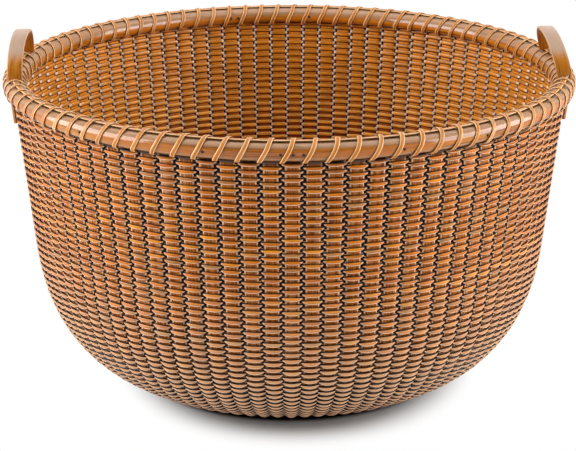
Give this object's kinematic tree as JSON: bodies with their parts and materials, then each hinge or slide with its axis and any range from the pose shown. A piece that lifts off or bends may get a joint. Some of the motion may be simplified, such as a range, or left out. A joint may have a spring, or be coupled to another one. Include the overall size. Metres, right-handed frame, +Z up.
{
  "type": "round open basket",
  "caption": "Round open-topped woven cane basket with a turned wooden base, a lashed double-hoop rim and a small fixed ear handle on each side.",
  "frame": {"origin": "centre of the base plate's underside, which stands on the table", "axes": "+Z up through the mouth; the two ear handles are at -X and +X; the front of the picture is -Y"},
  "size_m": [0.453, 0.453, 0.2786],
  "materials": {
    "base_wood": "turned hardwood, satin shellac",
    "stave_wood": "thin riven oak, aged satin",
    "woven_cane": "woven cane, aged honey brown, semi-gloss",
    "hoop_wood": "bent half-round wood, polished",
    "lashing_cane": "flat binding cane, semi-gloss",
    "handle_wood": "steam-bent hardwood strip, satin",
    "nail_metal": "small nails, darkened with age"
  },
  "bodies": {
    "root": {"base_plate": "base_wood", "stave_group_01": "stave_wood", "stave_group_02": "stave_wood", "stave_group_03": "stave_wood", "stave_group_04": "stave_wood", "stave_group_05": "stave_wood", "stave_group_06": "stave_wood", "stave_group_07": "stave_wood", "stave_group_08": "stave_wood", "stave_group_09": "stave_wood", "stave_group_10": "stave_wood", "stave_group_11": "stave_wood", "stave_group_12": "stave_wood", "stave_group_13": "stave_wood", "woven_wall": "woven_cane", "outer_hoop": "hoop_wood", "inner_hoop": "hoop_wood", "rim_cap": "lashing_cane", "rim_lashing_1": "lashing_cane", "rim_lashing_2": "lashing_cane", "rim_lashing_3": "lashing_cane", "rim_lashing_4": "lashing_cane", "left_handle": "handle_wood", "right_handle": "handle_wood", "rim_nail_01": "nail_metal", "rim_nail_02": "nail_metal", "rim_nail_03": "nail_metal", "rim_nail_04": "nail_metal", "rim_nail_05": "nail_metal", "rim_nail_06": "nail_metal", "rim_nail_07": "nail_metal", "rim_nail_08": "nail_metal", "rim_nail_09": "nail_metal", "rim_nail_10": "nail_metal"}
  },
  "joints": []
}
